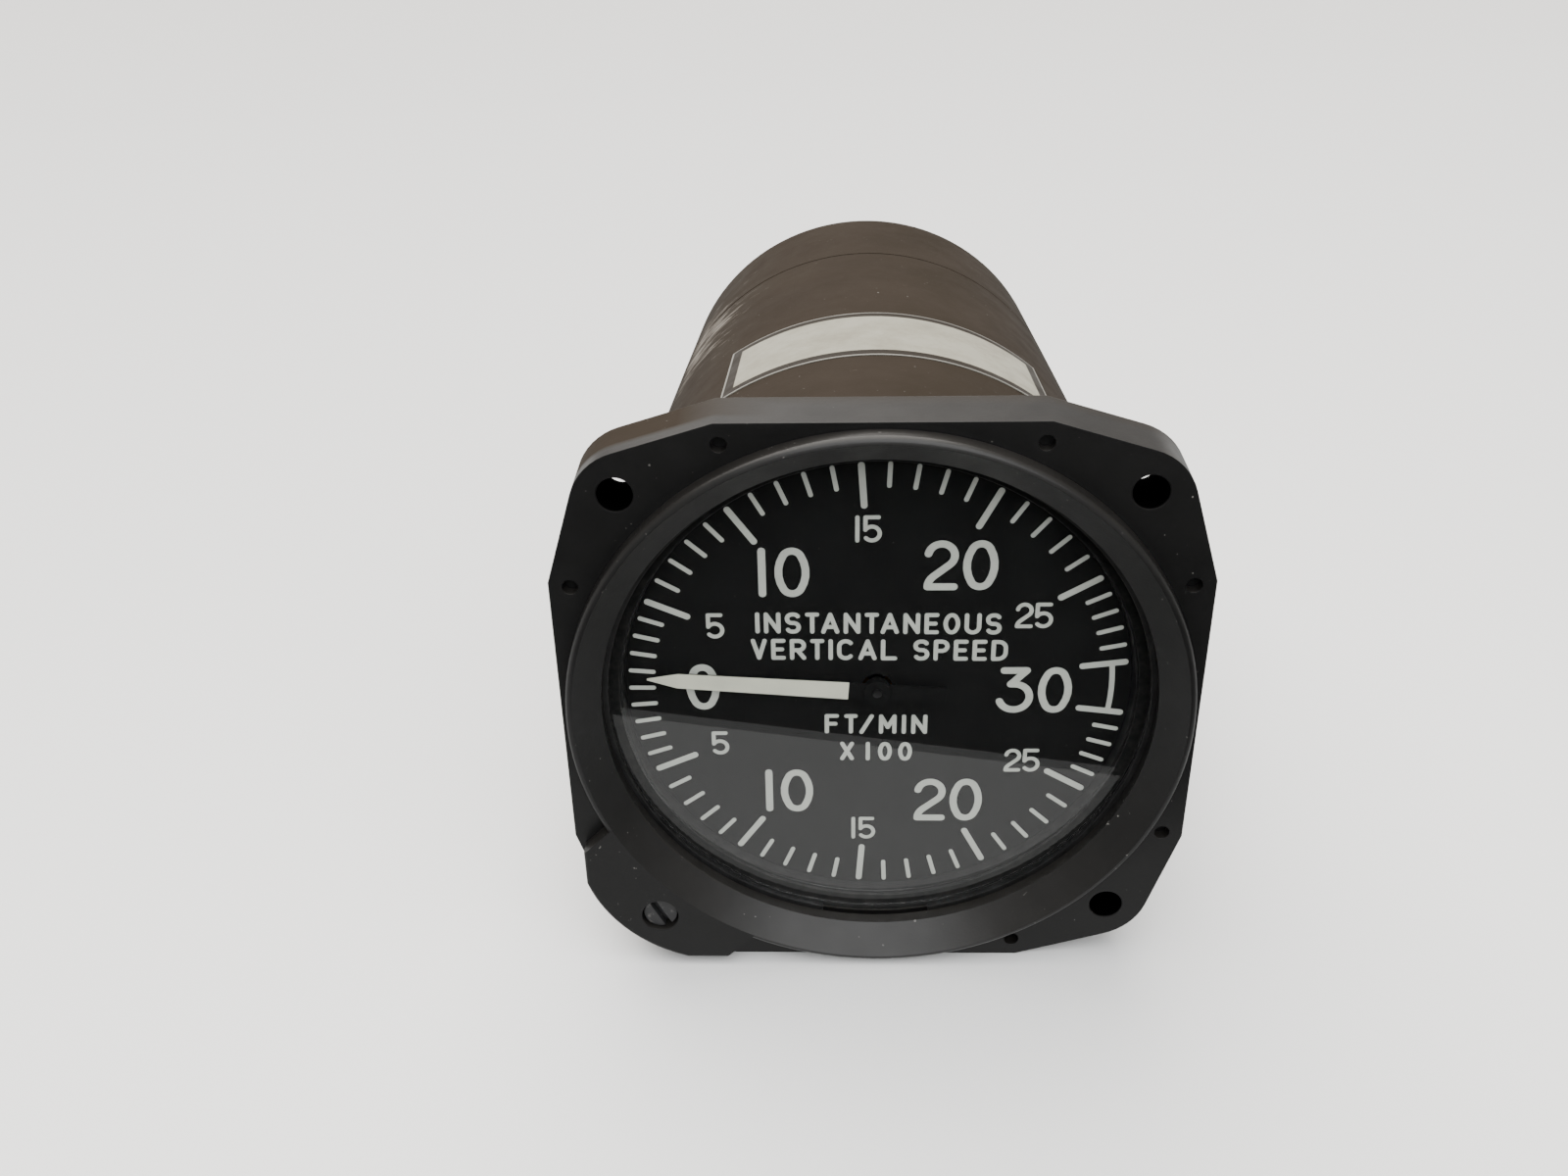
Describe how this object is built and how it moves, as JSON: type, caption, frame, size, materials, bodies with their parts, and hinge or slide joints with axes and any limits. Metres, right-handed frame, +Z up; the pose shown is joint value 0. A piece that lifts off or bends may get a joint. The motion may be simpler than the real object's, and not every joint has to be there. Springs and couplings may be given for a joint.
{
  "type": "vertical speed indicator",
  "caption": "Round-dial vertical speed instrument with square panel flange, raised glass ring, tapered case, zero adjuster, working movement and threaded rear static port.",
  "frame": {"origin": "on the dial axis, in the plane where the flange's front face meets the back of the panel", "axes": "+Y runs into the panel along the case to the static port, +Z is up on the dial, +X is to the pilot's right"},
  "size_m": [0.081, 0.1214, 0.081],
  "materials": {
    "case_paint": "satin black paint on die-cast aluminium",
    "dark_trim": "semi-gloss black",
    "dial_black": "matte black",
    "mark_white": "matte off-white dial paint",
    "pointer_cream": "matte cream paint",
    "label": "blank foil plate",
    "brass": "turned and lacquered",
    "bronze": "beryllium bronze strip",
    "steel": "ground",
    "aluminium": "turned",
    "rubber": "matte",
    "glass": "clear flat glass"
  },
  "bodies": {
    "case_body": {"case": "case_paint", "rear_cover": "case_paint", "cover_seal": "rubber", "cover_screws": "steel", "nameplate": "label", "glass": "glass", "glass_gasket": "rubber", "snap_ring": "dark_trim", "glare_ring": "dark_trim", "dial": "dial_black", "dial_marks": "mark_white", "zero_lid": "case_paint", "zero_lid_screws": "steel", "plate_ring": "steel", "tube_seal": "rubber", "manifold": "brass", "restrictor": "steel", "static_port": "brass", "port_seal": "rubber", "pump_left": "aluminium", "pump_right": "aluminium", "pump_spring_left": "steel", "pump_spring_right": "steel", "pump_lids": "aluminium", "pump_lines": "bronze"},
    "movement": {"front_plate": "brass", "zero_arm": "brass", "zero_arm_screws": "steel", "pillar_left": "brass", "pillar_right": "brass", "pillar_low": "brass", "pillar_screws": "steel", "rear_plate": "brass", "staff_bush": "bronze", "bridge": "brass", "bridge_posts": "brass", "bridge_screws": "steel", "hairspring_stud": "brass", "capsule_top": "bronze", "capsule_bottom": "bronze", "capsule_block": "brass", "capsule_tube": "bronze"},
    "pointer_staff": {"staff": "steel", "staff_pinion": "brass", "pointer": "pointer_cream", "pointer_arm": "dark_trim", "hairspring": "bronze"},
    "rocker": {"rocking_shaft": "steel", "sector_gear": "brass", "calibration_arm": "steel", "balance_weight": "brass"},
    "capsule_link": {"link": "steel", "capsule_post": "brass"},
    "zero_adjuster": {"zero_screw": "dark_trim", "zero_seal": "rubber", "zero_pinion": "brass"},
    "piston_left": {"pump_piston_left": "brass"},
    "piston_right": {"pump_piston_right": "brass"}
  },
  "joints": [
    {"name": "zero_turn", "type": "hinge", "parent": "case_body", "child": "movement", "pos_m": [0, 0.0116, 0], "axis": [0, 1, 0], "range_deg": [-8, 8]},
    {"name": "zero_screw_turn", "type": "hinge", "parent": "case_body", "child": "zero_adjuster", "pos_m": [-0.02952, 0.006, -0.03154], "axis": [0, 1, 0], "range_deg": [-100, 100]},
    {"name": "rocking_turn", "type": "hinge", "parent": "movement", "child": "rocker", "pos_m": [0.004, 0.0412, 0.02123], "axis": [0, 1, 0], "range_deg": [-21.12, 22.12], "stiffness_Nm_per_rad": 0.02},
    {"name": "pointer_turn", "type": "hinge", "parent": "movement", "child": "pointer_staff", "pos_m": [0, 0.0116, 0], "axis": [0, 1, 0], "range_deg": [-177, 169]},
    {"name": "capsule_slide", "type": "slide", "parent": "movement", "child": "capsule_link", "axis": [0, 0, 1], "range_m": [-0.00148, 0.00154], "deforming": ["capsule_top"]},
    {"name": "pump_slide_left", "type": "slide", "parent": "case_body", "child": "piston_left", "axis": [0, 0, 1], "range_m": [-0.005, 0.005], "stiffness_N_per_m": 40, "springref_m": 0.0012, "deforming": ["pump_spring_left"]},
    {"name": "pump_slide_right", "type": "slide", "parent": "case_body", "child": "piston_right", "axis": [0, 0, 1], "range_m": [-0.005, 0.005], "stiffness_N_per_m": 40, "springref_m": 0.0012, "deforming": ["pump_spring_right"]}
  ],
  "couplings": [
    {"joint": "zero_screw_turn", "follows": "zero_turn", "ratio": -12.5},
    {"joint": "pointer_turn", "follows": "rocking_turn", "ratio": -8},
    {"joint": "capsule_slide", "follows": "rocking_turn", "m_per_rad": 0.004}
  ]
}
